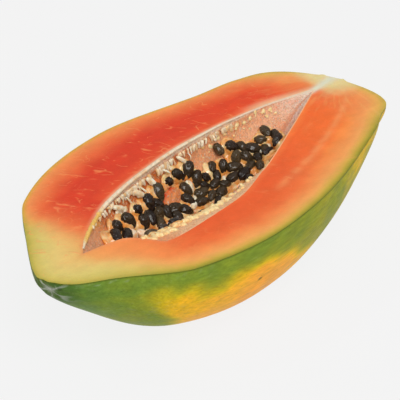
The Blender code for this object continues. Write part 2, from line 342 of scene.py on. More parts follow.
class Patch:
    """A grid of points with a colour at each, and the number of its material."""

    def __init__(self, points, tint, material, flipped=False):
        self.points = points
        self.tint = tint
        self.material = material
        self.flipped = flipped

    def faces(self, first):
        """Four-sided faces between the grid's points, counted from the first one."""
        rows, columns = self.points.shape[:2]
        index = np.arange(rows * columns).reshape(rows, columns) + first
        corners = [index[:-1, :-1], index[1:, :-1], index[1:, 1:], index[:-1, 1:]]
        if self.flipped:
            corners.reverse()
        return np.stack([corner.ravel() for corner in corners], axis=-1)


def joined_patches(name, patches):
    """One mesh from patches that share their borders, with sharp edges between materials."""
    points = []
    faces = []
    tints = []
    alphas = []
    materials = []
    for patch in patches:
        patch_faces = patch.faces(sum(len(group) for group in points))
        points.append(patch.points.reshape(-1, 3))
        faces.append(patch_faces)
        tints.append(patch.tint[..., :3].reshape(-1, 3))
        alphas.append(patch.tint[..., 3].ravel() if patch.tint.shape[-1] == 4 else np.ones(len(points[-1])))
        materials.append(np.full(len(patch_faces), patch.material))
    place = (np.concatenate(points) + FACE_CENTRE) * MM
    corners = np.concatenate(faces)
    mesh = bpy.data.meshes.new(name)
    mesh.from_pydata(place.tolist(), [], corners.tolist())
    mesh.polygons.foreach_set("material_index", np.concatenate(materials))
    colors = np.ones((corners.size, 4))
    colors[:, :3] = np.concatenate(tints)[corners.ravel()]
    colors[:, 3] = np.concatenate(alphas)[corners.ravel()]
    layer = mesh.color_attributes.new("tint", "FLOAT_COLOR", "CORNER")
    layer.data.foreach_set("color", colors.ravel())
    shape = bmesh.new()
    shape.from_mesh(mesh)
    bmesh.ops.remove_doubles(shape, verts=shape.verts, dist=1e-7)
    bmesh.ops.recalc_face_normals(shape, faces=shape.faces)
    for face in shape.faces:
        face.smooth = True
    for edge in shape.edges:
        edge.smooth = len({face.material_index for face in edge.link_faces}) == 1
    shape.to_mesh(mesh)
    shape.free()
    return mesh


def add_piece(name, mesh, materials, slot, *nodes):
    """Puts a mesh into the scene as a piece of the object that rides on its body."""
    item = bpy.data.objects.new(name, mesh)
    bpy.context.scene.collection.objects.link(item)
    for material in materials:
        mesh.materials.append(material)
    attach(item, "root")
    if nodes:
        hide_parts(*nodes)
    return item


# ---------------------------------------------------------------------------------------- materials


class Finish:
    """A material being made: its shader, and short calls that add nodes to it."""

    def __init__(self, name, **settings):
        self.material = bpy.data.materials.new(name)
        self.material.use_nodes = True
        tree = self.material.node_tree
        self.nodes = tree.nodes
        self.links = tree.links
        self.shader = self.nodes["Principled BSDF"]
        for key, value in settings.items():
            self.feed(self.shader.inputs[key.replace("_", " ").title().replace("Ior", "IOR")], value)
        where = self.add("ShaderNodeTexCoord").outputs["Object"]
        scale = self.add("ShaderNodeVectorMath", operation="SCALE")
        self.feed(scale.inputs[0], where)
        self.feed(scale.inputs["Scale"], 1 / MM)
        self.place = scale.outputs[0]

    def add(self, kind, **settings):
        """Adds a node with these settings."""
        node = self.nodes.new(kind)
        for key, value in settings.items():
            setattr(node, key, value)
        return node

    def feed(self, socket, value):
        """Links an output to a socket, or sets its value."""
        if isinstance(value, bpy.types.NodeSocket):
            self.links.new(value, socket)
        else:
            socket.default_value = value

    def sink(self, red, green, blue):
        """How far each colour of light sinks in, in millimetres."""
        self.feed(self.shader.inputs["Subsurface Radius"], (red * MM, green * MM, blue * MM))
        self.feed(self.shader.inputs["Subsurface Scale"], 1.0)

    def attribute(self, name, output="Color"):
        """A value that the mesh carries."""
        return self.add("ShaderNodeAttribute", attribute_name=name).outputs[output]

    def stretched(self, stretch, turn=0.0, bend=0.0):
        """Coordinates in millimetres, bent, turned about Z and then divided by stretch."""
        where = self.place
        if bend:
            drift = self.add("ShaderNodeTexNoise")
            self.feed(drift.inputs["Vector"], self.place)
            self.feed(drift.inputs["Scale"], 0.07)
            offset = self.add("ShaderNodeVectorMath", operation="MULTIPLY_ADD")
            self.feed(offset.inputs[0], drift.outputs["Color"])
            self.feed(offset.inputs[1], (bend, bend, 0.0))
            self.feed(offset.inputs[2], where)
            where = offset.outputs[0]
        mapping = self.add("ShaderNodeMapping")
        self.feed(mapping.inputs["Vector"], where)
        self.feed(mapping.inputs["Rotation"], (0, 0, -turn))
        step = self.add("ShaderNodeVectorMath", operation="DIVIDE")
        self.feed(step.inputs[0], mapping.outputs[0])
        self.feed(step.inputs[1], stretch)
        return step.outputs[0]

    def noise(self, stretch, detail=2.0, roughness=0.5, turn=0.0, distortion=0.0, bend=0.0):
        """Soft noise from 0 to 1, with bumps of about the size of stretch."""
        node = self.add("ShaderNodeTexNoise")
        self.feed(node.inputs["Vector"], self.stretched(stretch, turn, bend))
        self.feed(node.inputs["Scale"], 1.0)
        self.feed(node.inputs["Detail"], detail)
        self.feed(node.inputs["Roughness"], roughness)
        self.feed(node.inputs["Distortion"], distortion)
        return node.outputs["Fac"]

    def cells(self, stretch, turn=0.0, feature="F1", wobble=0.0):
        """Distance to the nearest of scattered points, and a random value for each point."""
        node = self.add("ShaderNodeTexVoronoi", feature=feature)
        where = self.stretched(stretch, turn)
        if wobble:
            shake = self.add("ShaderNodeTexNoise")
            self.feed(shake.inputs["Vector"], where)
            self.feed(shake.inputs["Scale"], 0.7)
            offset = self.add("ShaderNodeVectorMath", operation="MULTIPLY_ADD")
            self.feed(offset.inputs[0], shake.outputs["Color"])
            self.feed(offset.inputs[1], (wobble, wobble, wobble))
            self.feed(offset.inputs[2], where)
            where = offset.outputs[0]
        self.feed(node.inputs["Vector"], where)
        self.feed(node.inputs["Scale"], 1.0)
        return node.outputs["Distance"], node.outputs["Color"]

    def range(self, value, low, high, out_low=0.0, out_high=1.0):
        """A value moved from one range into another, and held there."""
        node = self.add("ShaderNodeMapRange")
        self.feed(node.inputs["Value"], value)
        self.feed(node.inputs["From Min"], low)
        self.feed(node.inputs["From Max"], high)
        self.feed(node.inputs["To Min"], out_low)
        self.feed(node.inputs["To Max"], out_high)
        return node.outputs["Result"]

    def math(self, operation, first, second=0.0):
        """One sum with two values."""
        node = self.add("ShaderNodeMath", operation=operation)
        self.feed(node.inputs[0], first)
        self.feed(node.inputs[1], second)
        return node.outputs[0]

    def mix(self, first, second, factor, blend_type="MIX"):
        """Part of the way from the first colour to the second."""
        node = self.add("ShaderNodeMix", data_type="RGBA", blend_type=blend_type)
        self.feed(node.inputs[0], factor)
        self.feed(node.inputs[6], first)
        self.feed(node.inputs[7], second)
        return node.outputs[2]

    def shade(self, color, value, low, high):
        """The colour made darker or lighter as a value runs from 0 to 1."""
        factor = self.range(value, 0.25, 0.75, low, high)
        node = self.add("ShaderNodeVectorMath", operation="SCALE")
        self.feed(node.inputs[0], color)
        self.feed(node.inputs["Scale"], factor)
        return node.outputs[0]

    def bump(self, height, distance, strength=1.0, base=None):
        """A surface direction that follows a height, over an earlier one if given."""
        node = self.add("ShaderNodeBump")
        self.feed(node.inputs["Height"], height)
        self.feed(node.inputs["Distance"], distance * MM)
        self.feed(node.inputs["Strength"], strength)
        if base is not None:
            self.feed(node.inputs["Normal"], base)
        return node.outputs["Normal"]

    def finish(self, color, normal=None, roughness=None):
        """Feeds the shader and gives the finished material."""
        self.feed(self.shader.inputs["Base Color"], color)
        if normal is not None:
            self.feed(self.shader.inputs["Normal"], normal)
        if roughness is not None:
            self.feed(self.shader.inputs["Roughness"], roughness)
        return self.material


def screen(*color):
    """A screen colour as a material's colour value."""
    return (*to_linear(color), 1)


def skin_material():
    """Thin waxy skin: fine streaks along the fruit, pores, freckles, scuffs and a dark cut edge."""
    skin = Finish("papaya_skin", specular_ior_level=0.03)
    color = skin.attribute("tint")
    streaks = skin.noise((7, 1.1, 1.1), detail=5, roughness=0.6, distortion=0.4)
    color = skin.shade(color, streaks, 0.76, 1.18)
    clouds = skin.noise((7, 4, 4), detail=4)
    color = skin.shade(color, clouds, 0.88, 1.1)
    freckle, _ = skin.cells((3.6, 2.4, 2.4))
    spots = skin.range(freckle, 0.17, 0.07)
    color = skin.mix(color, screen(66, 78, 32), skin.math("MULTIPLY", spots, 0.28))
    blotch, pick = skin.cells((15, 11, 11), wobble=0.4)
    blotches = skin.math("MULTIPLY", skin.range(blotch, 0.11, 0.05), skin.range(pick, 0.5, 0.54))
    color = skin.mix(color, screen(52, 66, 30), skin.math("MULTIPLY", blotches, 0.7))
    film = skin.range(skin.noise((12, 1.6, 1.6), detail=6, roughness=0.7), 0.57, 0.74)
    color = skin.mix(color, screen(176, 182, 130), skin.math("MULTIPLY", film, 0.16))
    height = skin.add("ShaderNodeSeparateXYZ")
    skin.feed(height.inputs[0], skin.place)
    edge = skin.range(height.outputs["Z"], FACE_CENTRE.z - 0.9, FACE_CENTRE.z - 0.25)
    color = skin.mix(color, screen(84, 92, 30), skin.math("MULTIPLY", edge, 0.75))
    pores = skin.noise((0.9, 0.5, 0.5), detail=2)
    normal = skin.bump(pores, 0.06)
    normal = skin.bump(streaks, 0.15, base=normal)
    normal = skin.bump(blotches, -0.25, base=normal)
    roughness = skin.range(clouds, 0.3, 0.7, 0.36, 0.5)
    return skin.finish(color, normal, roughness)


# Fine grain of the flesh and the fibres of the vein band, as turns from the fruit's length.
VEIN_TURN = math.radians(-54)
BAND_TURN = math.radians(12)
# Veins fan out of this place on the cut face, as far as this.
FAN_CENTRE = (101.0, 1.5)
FAN_REACH = 62.0


def flesh_material():
    """Wet cut flesh: fine grain, soft clouds, short pale veins across the cut and veins fanning
    out of the stem scar. The alpha of the colour says how thick the veins are."""
    flesh = Finish("papaya_flesh", specular_ior_level=0.12, subsurface_weight=0.1)
    flesh.sink(3.0, 1.0, 0.4)
    color = flesh.attribute("tint")
    thick = flesh.attribute("tint", "Alpha")
    color = flesh.shade(color, flesh.noise((8, 5, 5), detail=3), 0.93, 1.06)
    color = flesh.shade(color, flesh.noise((0.9, 0.4, 0.6), detail=3, turn=VEIN_TURN), 0.96, 1.04)
    vein = flesh.math("MAXIMUM", wisps(flesh, math.radians(-70), 1.0), wisps(flesh, math.radians(-48), 31.0))
    vein = flesh.math("MULTIPLY", vein, flesh.range(thick, 0.0, 0.5))
    band = flesh.noise((3.2, 0.6, 2), detail=4, roughness=0.6, turn=BAND_TURN, distortion=0.5)
    band = flesh.math("MULTIPLY", flesh.range(band, 0.4, 0.66), flesh.range(thick, 0.5, 1.0))
    vein = flesh.math("MAXIMUM", vein, band)
    color = flesh.mix(color, screen(244, 152, 92), flesh.math("MULTIPLY", vein, 0.6))
    color = flesh.mix(color, screen(240, 190, 112), flesh.math("MULTIPLY", fan_streaks(flesh), 0.3))
    grain = flesh.noise((0.5, 0.5, 0.5), detail=3)
    normal = flesh.bump(grain, 0.06)
    normal = flesh.bump(vein, 0.08, base=normal)
    roughness = flesh.range(grain, 0.3, 0.7, 0.42, 0.56)
    return flesh.finish(color, normal, roughness)


def wisps(flesh, turn, offset):
    """Thin curved veins that come and go, at a turn from the fruit's length."""
    slope = flesh.noise((13, 4.4, 5), detail=1.0, turn=turn, bend=offset)
    crest = flesh.range(flesh.math("ABSOLUTE", flesh.math("SUBTRACT", slope, 0.5)), 0.03, 0.0)
    broken = flesh.range(flesh.noise((7, 3.6, 4), detail=2, turn=turn, bend=offset), 0.53, 0.66)
    return flesh.math("MULTIPLY", crest, broken)


def fan_streaks(flesh):
    """Veins that fan out of the stem scar over the cut face, fading within FAN_REACH."""
    parts = flesh.add("ShaderNodeSeparateXYZ")
    flesh.feed(parts.inputs[0], flesh.place)
    along = flesh.math("SUBTRACT", FAN_CENTRE[0], parts.outputs["X"])
    across = flesh.math("SUBTRACT", parts.outputs["Y"], FAN_CENTRE[1])
    bearing = flesh.math("ARCTAN2", across, along)
    square = flesh.math("ADD", flesh.math("MULTIPLY", along, along), flesh.math("MULTIPLY", across, across))
    distance = flesh.math("SQRT", square)
    where = flesh.add("ShaderNodeCombineXYZ")
    flesh.feed(where.inputs["X"], flesh.math("MULTIPLY", bearing, 13.0))
    flesh.feed(where.inputs["Y"], flesh.math("MULTIPLY", distance, 0.07))
    streaks = flesh.add("ShaderNodeTexNoise")
    flesh.feed(streaks.inputs["Vector"], where.outputs[0])
    flesh.feed(streaks.inputs["Scale"], 1.0)
    flesh.feed(streaks.inputs["Detail"], 3.0)
    fade = flesh.range(distance, FAN_REACH, 8.0)
    return flesh.math("MULTIPLY", flesh.range(streaks.outputs["Fac"], 0.52, 0.7), fade)


def lining_material():
    """Soft lining of the hollow: short brush-like fibres that run down the wall, wet on top."""
    lining = Finish("papaya_lining", specular_ior_level=0.3, subsurface_weight=0.15)
    lining.sink(2.5, 1.2, 0.6)
    color = lining.attribute("tint")
    hairs = lining.noise((0.6, 1.2, 1.2), detail=4, roughness=0.65)
    color = lining.shade(color, hairs, 0.76, 1.18)
    grit = lining.noise((0.35, 0.35, 0.35), detail=2)
    color = lining.shade(color, grit, 0.84, 1.12)
    patches = lining.noise((4, 3, 3), detail=2)
    color = lining.mix(color, screen(236, 132, 74), lining.range(patches, 0.5, 0.8, 0, 0.35))
    # Pale specks: partly pale fibre, partly painted highlights on the wet fibre tips.
    pale = lining.range(lining.noise((0.8, 0.8, 1.0), detail=3), 0.54, 0.68)
    color = lining.mix(color, screen(248, 214, 184), lining.math("MULTIPLY", pale, 0.7))
    spots = lining.range(lining.noise((0.7, 0.7, 0.9), detail=2, distortion=0.5), 0.46, 0.32)
    color = lining.mix(color, screen(220, 110, 58), lining.math("MULTIPLY", spots, 0.5))
    normal = lining.bump(hairs, 0.3)
    normal = lining.bump(pale, 0.3, base=normal)
    return lining.finish(color, normal, lining.range(hairs, 0.3, 0.7, 0.55, 0.4))


def seed_material():
    """Dark wrinkled seeds under a thin wet film, from near black to grey-olive."""
    seed = Finish("papaya_seed", specular_ior_level=0.2, coat_weight=0.5, coat_roughness=0.07)
    tone = seed.attribute("tint")
    wrinkles = seed.noise((0.7, 0.7, 0.7), detail=4, roughness=0.65, distortion=0.8)
    color = seed.shade(tone, wrinkles, 0.4, 1.7)
    dull = seed.range(seed.noise((2.6, 2.6, 2.6), detail=2), 0.5, 0.7)
    color = seed.mix(color, screen(92, 78, 52), seed.math("MULTIPLY", dull, 0.25))
    folds, _ = seed.cells((1.0, 1.0, 1.0), wobble=0.8)
    normal = seed.bump(wrinkles, 0.45)
    normal = seed.bump(folds, 0.5, base=normal)
    return seed.finish(color, normal, seed.range(wrinkles, 0.3, 0.7, 0.5, 0.3))


def pulp_material(name, pale, warm, roughness=0.35):
    """Moist pale pulp: cream with warmer patches and a fine uneven surface."""
    pulp = Finish(name, specular_ior_level=0.5, subsurface_weight=0.3)
    pulp.sink(1.6, 1.1, 0.7)
    patches = pulp.noise((2.2, 2.2, 2.2), detail=3)
    color = pulp.mix(screen(*pale), screen(*warm), pulp.range(patches, 0.42, 0.68))
    grain = pulp.noise((0.5, 0.5, 0.5), detail=3)
    color = pulp.shade(color, grain, 0.92, 1.06)
    normal = pulp.bump(grain, 0.12)
    return pulp.finish(color, normal, pulp.range(grain, 0.3, 0.7, roughness, roughness + 0.15))


# ------------------------------------------------------------------------------------------- fruit

# How ripe the skin is, from 0 to 1, just below the near rim and lower down, at places along the
# fruit, with the turn below that rim, in degrees, where it changes and where it greens again.
RIPE_AT_RIM = (
    (-100, 0.12), (-75, 0.24), (-60, 0.28), (-30, 0.32), (-10, 0.36), (5, 0.40), (30, 0.46),
    (60, 0.6), (100, 0.6),
)
RIPE_BELOW = (
    (-100, 0.14), (-88, 0.2), (-78, 0.36), (-70, 0.54), (-60, 0.72), (-45, 0.82), (-20, 0.90), (0, 0.82),
    (15, 0.74), (30, 0.56), (45, 0.5), (60, 0.54), (100, 0.6),
)
RIPENING = (
    (-100, 60), (-84, 24), (-64, 16), (-45, 15), (-30, 12), (-15, 16), (0, 25), (15, 31), (30, 45),
    (60, 58), (100, 66),
)
RIPE_END = ((-100, 20), (-78, 34), (-66, 44), (-56, 54), (-46, 66), (-30, 86), (0, 120), (100, 140))
RIPENING_TURN = 16
BLOSSOM_SCAR = Vector((-98.6, -2.0, -5.0))


def skin_relief(points):
    """How far the skin stands out: soft swells, and the puckered blossom scar."""
    swell = waves(points, 26, 3.0, (1.6, 1, 1)) * 0.35
    offset = points - np.array(BLOSSOM_SCAR)
    distance = np.linalg.norm(offset, axis=-1)
    around = np.arctan2(offset[..., 2], offset[..., 1])
    creases = np.cos(7 * around + waves(points, 6, 9.0) * 2)
    pucker = -1.0 * np.exp(-(distance / 3.2) ** 2) + 0.22 * creases * np.exp(-((distance - 5) / 3.5) ** 2)
    return swell, pucker


def skin_tint(points, below):
    """Green under the near rim and at the blossom end, ripening to yellow and orange lower down."""
    x = points[..., 0]
    drift = waves(points, 16, 1.0, (1.7, 1, 1)) * 9 + waves(points, 6, 5.0, (2.2, 1, 1)) * 5
    below = below + drift * smooth_step(below / 12)
    at_rim = knot_value(RIPE_AT_RIM, x)
    lower = knot_value(RIPE_BELOW, x)
    turned = smooth_step((below - knot_value(RIPENING, x)) / RIPENING_TURN + 0.5)
    ripeness = at_rim + (lower - at_rim) * turned
    green_again = smooth_step((below - knot_value(RIPE_END, x)) / 18 + 0.5)
    hidden = 0.27 + 0.16 * waves(points, 24, 14.0, (1.5, 1, 1))
    ripeness = ripeness * (1 - green_again) + hidden * green_again
    mottle = waves(points, 11, 11.0, (1.4, 1, 1)) * 0.10 + waves(points, 3.6, 2.0, (2.0, 1, 1)) * 0.07
    ripeness += mottle * (0.8 + smooth_step((x - 5) / 30))
    return scar_tint(points, ramp(SKIN_RIPENESS, np.clip(ripeness, 0, 1)))


def scar_tint(points, tint):
    """Adds the star of cork round the blossom scar and the pale stem scar with its dark edge."""
    offset = points - np.array(BLOSSOM_SCAR)
    distance = np.linalg.norm(offset, axis=-1)
    around = np.arctan2(offset[..., 2], offset[..., 1])
    rays = smooth_step(np.cos(5 * around + waves(points, 5, 4.0) * 2.5) * 4 - 2.9)
    dark = np.exp(-((distance - 4) / 9) ** 2)
    tint = stain(tint, (48, 82, 36), 0.75 * dark)
    star = np.maximum(np.exp(-(distance / 1.9) ** 2), 0.7 * rays * np.exp(-(distance / 7.5) ** 2))
    tint = stain(tint, CORK, 0.9 * star)
    tint = stain(tint, CORK_EYE, np.exp(-(distance / 0.6) ** 2))
    scuffs = smooth_step(waves(points, 1.3, 8.0, (4, 1, 0.6)) * 2 - 0.3)
    scuffs = scuffs * smooth_step((-44 - points[..., 0]) / 30)
    high = np.exp(-((points[..., 2] + 1.6) / 0.8) ** 2) + 0.5 * np.exp(-((points[..., 2] + 20) / 6) ** 2)
    tint = stain(tint, (150, 164, 128), 0.5 * scuffs * high)
    scar_distance = np.hypot(points[..., 1] - STEM_SCAR_Y, points[..., 2])
    at_stem = smooth_step((points[..., 0] - 80) / 10)
    halo = at_stem * smooth_step((11 - scar_distance) / 5)
    tint = stain(tint, (176, 178, 104), 0.6 * halo)
    edge = at_stem * np.exp(-((scar_distance - STEM_SCAR_RADIUS + 0.3) / 0.9) ** 2)
    inside = at_stem * smooth_step((STEM_SCAR_RADIUS - 0.3 - scar_distance) / 0.8)
    tint = stain(tint, (196, 196, 164), inside)
    return stain(tint, SCAR_GREY, edge)


def skin_patch():
    """The skin from rim to rim under the fruit, flattened where it rests."""
    turn, angle = np.meshgrid(
        np.linspace(0, 1, TURNS + 1), np.linspace(0, math.pi, SKIN_ANGLES + 1), indexing="ij"
    )
    points = fruit_points(turn, angle)
    swell, pucker = skin_relief(points)
    outward = points / np.array((2.2, 1, 1))
    outward /= np.maximum(np.linalg.norm(outward, axis=-1, keepdims=True), 1e-6)
    in_plane = np.sin(angle)[..., None]
    points = points + outward * swell[..., None] * in_plane
    points[..., 0] -= pucker
    points[..., 2] = np.maximum(points[..., 2], -FACE_CENTRE.z)
    scar_distance = np.hypot(points[..., 1] - STEM_SCAR_Y, points[..., 2])
    collar = np.exp(-((scar_distance - STEM_SCAR_RADIUS + 0.3) / 0.8) ** 2) * (turn > 0.9)
    points[..., 0] += 1.0 * collar * (1 + 0.4 * waves(points, 1.5, 3.0))
    tint = skin_tint(points, 180 - np.degrees(angle))
    return Patch(points, tint, 0)


def wall_patch():
    """The hollow's wall, with soft lumps and fibres."""
    turn, angle = np.meshgrid(
        np.linspace(0, 1, TURNS + 1), np.linspace(0, math.pi, WALL_ANGLES + 1), indexing="ij"
    )
    points = hollow_points(turn, angle)
    x, y = points[..., 0], points[..., 1]
    depth = -points[..., 2]
    inside = smooth_step(depth / 1.5) * smooth_step(np.sin(angle) * 6)
    lumps = waves(points, 5, 2.0) * 0.35 + waves(points, 1.9, 6.0) * 0.3
    fibre = fibres(points, 1.1, 4.0, (0.7, 1.8, 1.8)) * 0.22
    normal = hollow_normals(x, y)
    relief = ((lumps + fibre) * inside)[..., None]
    tint = wall_tint(points, angle)
    return Patch(points + normal * relief, tint, 2, flipped=True)


def wall_tint(points, angle):
    """Peach lining, brown between the fibres under the far rim with painted shade there, pale towards the
    stem end.
    """
    x = points[..., 0]
    share = np.cos(angle)
    far_side = smooth_step(share * 3 + 0.5)
    tint = blend(ramp(NEAR_WALL, x), ramp(FAR_WALL, x), far_side)
    # Darker brown under the far rim: partly the brown wall between the fibres, partly painted shade under
    # the rim and its fibres.
    under_rim = smooth_step((share - 0.86) / 0.1) * smooth_step((1 - share) / 0.004)
    brown_and_shade = under_rim * smooth_step((x + 56) / 8) * smooth_step((24 - x) / 16)
    tint = stain(tint, (196, 104, 40), 0.85 * brown_and_shade)
    # Darker along the hollow's crease towards the stem end: painted shade in the crease.
    crease = np.exp(-((share - 0.04) / 0.15) ** 2) * smooth_step((x - 44) / 14)
    tint = stain(tint, (204, 124, 84), 0.7 * crease)
    gold = smooth_step((share - 0.9) / 0.06) * smooth_step((-48 - x) / 6)
    tint = stain(tint, (232, 176, 84), 0.9 * gold)
    # Dark brown-red painted shadow under a seed and painted shade in crevices and holes.
    for spot_x, spot_y, length, width, strength in PAINTED_SHADOW_SPOTS:
        shadow_spot = np.exp(-((x - spot_x) / length) ** 2 - ((points[..., 1] - spot_y) / width) ** 2)
        tint = stain(tint, (150, 62, 22), strength * shadow_spot)
    lip = smooth_step((share - 0.985) / 0.012) * smooth_step((x + 66) / 10)
    tint = stain(tint, CREAM, 0.85 * lip)
    ledge = smooth_step((-share - 0.66) / 0.1) * smooth_step((x + 50) / 10) * smooth_step((30 - x) / 10)
    tint = stain(tint, (244, 194, 146), ledge)
    return tint


def face_patch(outer, inner):
    """The cut face between the skin's rim and the hollow's rim, both as rings of points."""
    step = (1 - np.cos(np.linspace(0, math.pi, FACE_STEPS + 1))) / 2
    points = outer[:, None] * (1 - step[:, None]) + inner[:, None] * step[:, None]
    length = np.linalg.norm(outer - inner, axis=-1)[:, None]
    across = np.broadcast_to(step, points.shape[:2])
    inside = np.sin(math.pi * across) ** 0.5
    relief = waves(points, 14, 1.0) * 0.25 + waves(points, 3, 8.0) * 0.06
    points = points + np.array((0, 0, 1)) * (relief * inside)[..., None]
    return Patch(points, face_tint(points, across, length), 1)


def face_tint(points, across, length):
    """Red flesh near the hollow, orange outwards, yellow at the ends and green under the skin."""
    x, y = points[..., 0], points[..., 1]
    soft = waves(points, 9, 7.0) * 0.05 + waves(points, 4, 3.0) * 0.025
    inside = np.sin(math.pi * across)
    value = np.clip(across + soft * inside, 0, 1)
    ring_y = np.broadcast_to(y[:, :1], y.shape)
    far_side = smooth_step(0.5 + ring_y / 12)
    far_value = np.minimum(value, knot_value(FAR_CAP, x))
    near_value = np.minimum(value * knot_value(NEAR_STRETCH, x), knot_value(NEAR_CAP, x))
    tint = blend(ramp(NEAR_FLESH, near_value), ramp(FAR_FLESH, far_value), far_side)
    lighter = smooth_step((x - 10) / 55) * smooth_step((value - 0.2) / 0.25)
    tint = tint * (1 + lighter[..., None] * np.array(STEM_GLOW))
    blossom_far = smooth_step((-60 - x + 40 * soft) / 20)
    blossom_near = smooth_step((-58 - x + 40 * soft) / 26) * (1 - 0.7 * smooth_step((value - 0.4) / 0.3))
    blossom_near = np.maximum(blossom_near, smooth_step((-72 - x) / 12))
    tint = blend(tint, ramp(BLOSSOM_FLESH, value), blend_value(blossom_near, blossom_far, far_side))
    stem = smooth_step((x - 66 + 60 * soft) / 22)
    tint = blend(tint, ramp(STEM_FLESH, value), stem)
    rim_distance = (1 - across) * length
    edge = smooth_step((2.4 - rim_distance) / 2.4)
    tint = stain(tint, (234, 150, 98), 0.6 * edge * smooth_step((-46 - x) / 12))
    wide_edge = smooth_step((6.0 - rim_distance) / 6.0) * far_side
    tint = stain(tint, (240, 196, 154), 0.9 * wide_edge * smooth_step((x - 46) / 16))
    stem_distance = np.hypot(x - 99, (y - 2) * 0.9)
    tint = stain(tint, SCAR_YELLOW, smooth_step((18 - stem_distance + 60 * soft) / 12))
    ridge = np.exp(-((y - STEM_SCAR_Y) / (1.3 + 0.08 * np.maximum(x - 80, 0))) ** 2)
    ridge = ridge * smooth_step((x - 76) / 7)
    tint = stain(tint, SCAR_WHITE, 0.92 * ridge)
    strip = knot_value(RIM_STRIP, x)
    peach = smooth_step(1.2 - rim_distance / 1.9) * far_side * smooth_step((x + 62) / 16)
    tint = stain(tint, (238, 172, 130), 0.62 * peach)
    cream = smooth_step((strip - rim_distance) / 0.6 + 0.5) * far_side * smooth_step((x + 58) / 10)
    tint = stain(tint, CREAM, 0.85 * cream)
    near_edge = smooth_step((0.4 - rim_distance) / 0.4 + 0.5) * (1 - far_side) * smooth_step((x - 12) / 8)
    tint = stain(tint, (246, 196, 150), 0.75 * near_edge)
    off_band = np.abs(y - knot_value(VEIN_BAND, x)) / (1.4 + 0.5 * smooth_step((60 - x) / 40))
    band = np.exp(-off_band ** 2) * smooth_step((x - 2) / 10) * (1 - smooth_step((x - 88) / 6))
    broken = 1 - 0.6 * smooth_step(waves(points, 4, 2.0) * 2)
    tint = stain(tint, (242, 156, 96), 0.5 * band * broken)
    wispy = 0.16 + 0.34 * far_side * smooth_step(rim_distance / 3) * smooth_step((80 - x) / 10)
    return np.concatenate([tint, np.clip(wispy + 0.5 * band, 0, 1)[..., None]], axis=-1)


def add_fruit():
    """Skin, cut face and hollow as one closed fruit."""
    skin = skin_patch()
    wall = wall_patch()
    outer = np.concatenate([skin.points[:, 0], skin.points[-2::-1, -1]])
    inner = np.concatenate([wall.points[:, 0], wall.points[-2::-1, -1]])
    face = face_patch(outer, inner)
    mesh = joined_patches("papaya_fruit", [skin, face, wall])
    materials = [skin_material(), flesh_material(), lining_material()]
    return add_piece("papaya_fruit", mesh, materials, "flesh", "papaya_flesh")


# ------------------------------------------------------------------------------------------- seeds


class Seed:
    """One seed: where its middle is, how long it is and how it lies."""

    def __init__(self, x, y, length, spin, lean):
        self.length = length
        self.radii = Vector((length / 2, length * SEED_WIDTH / 2, length * SEED_HEIGHT / 2))
        normal = Vector(hollow_normals(np.float64(x), np.float64(y)))
        upright = Vector((0, 0, 1)).rotation_difference(normal).to_matrix()
        turned = Matrix.Rotation(spin, 3, "Z") @ Matrix.Rotation(lean, 3, "Y")
        self.rotation = upright @ turned
        self.middle = Vector((x, y, -hollow_depth(x, y)))
        self.middle += normal * self.rest_height(normal)

    def rest_height(self, normal):
        """How far the middle stands off a wall with that normal."""
        local = self.rotation.transposed() @ normal
        reach = Vector([radius * part for radius, part in zip(self.radii, local)]).length
        return reach + SEED_GAP

    def stay_on_wall(self):
        """Brings the middle back to its rest height above the wall below it."""
        x, y = np.float64(self.middle.x), np.float64(self.middle.y)
        foot_normal = Vector(hollow_normals(x, y))
        height = (self.middle.z + hollow_depth(x, y)) * foot_normal.z
        self.middle += foot_normal * (self.rest_height(foot_normal) - height)


def place_seeds():
    """Seeds along their rows, then pushed apart and back onto the wall until they settle."""
    rng = random.Random(SEED_RANDOM)
    seeds = []
    for start, end, count, length, spin in SEED_ROWS:
        for index in range(count):
            part = index / max(1, count - 1)
            x = start[0] + (end[0] - start[0]) * part + rng.uniform(-SEED_JITTER, SEED_JITTER)
            y = start[1] + (end[1] - start[1]) * part + rng.uniform(-SEED_JITTER, SEED_JITTER)
            size = length * (1 + rng.uniform(-SEED_LENGTH_SPREAD, SEED_LENGTH_SPREAD))
            turned = math.radians(spin) + rng.uniform(-SEED_SPIN_JITTER, SEED_SPIN_JITTER)
            lean = rng.uniform(-SEED_LEAN, SEED_LEAN)
            seeds.append(Seed(x, y, size, turned, lean))
    for _ in range(SETTLING_STEPS):
        push_apart(seeds)
        for seed in seeds:
            seed.stay_on_wall()
    for place, length, spin in CAUGHT_SEEDS:
        caught = Seed(place[0], place[1], length, math.radians(spin), 0.2)
        caught.middle = Vector(place)
        seeds.append(caught)
    return seeds


def push_apart(seeds):
    """Moves each pair of seeds that is too close apart by half of what is missing each."""
    for index, seed in enumerate(seeds):
        for other in seeds[index + 1:]:
            between = other.middle - seed.middle
            room = SEED_PACKING * (seed.length + other.length) / 2
            short = room - between.length
            if short > 0:
                move = between.normalized() * short / 2
                other.middle += move
                seed.middle -= move


def seed_points(rng):
    """An ovoid of radius 1 with its tips on X, wrinkled lengthways."""
    turn, around = np.meshgrid(
        np.linspace(0, math.pi, SEED_TURNS + 1),
        np.linspace(0, 2 * math.pi, SEED_SIDES + 1),
        indexing="ij",
    )
    x = -np.cos(turn)
    taper = 1 + 0.14 * x
    side = np.sin(turn) * np.cos(around) * taper
    up = np.sin(turn) * np.sin(around) * taper
    points = np.stack([x, side, up], axis=-1)
    offset = rng.uniform(0, 90)
    ridges = fibres(points, 0.55, offset, (2.4, 1, 1)) * 0.13
    dents = waves(points, 0.9, offset + 5) * 0.10
    folds = fibres(points, 0.24, offset + 9, (2.6, 1, 1)) * 0.05
    return points * (0.84 + ridges + folds + dents)[..., None] * SEED_SHAPE


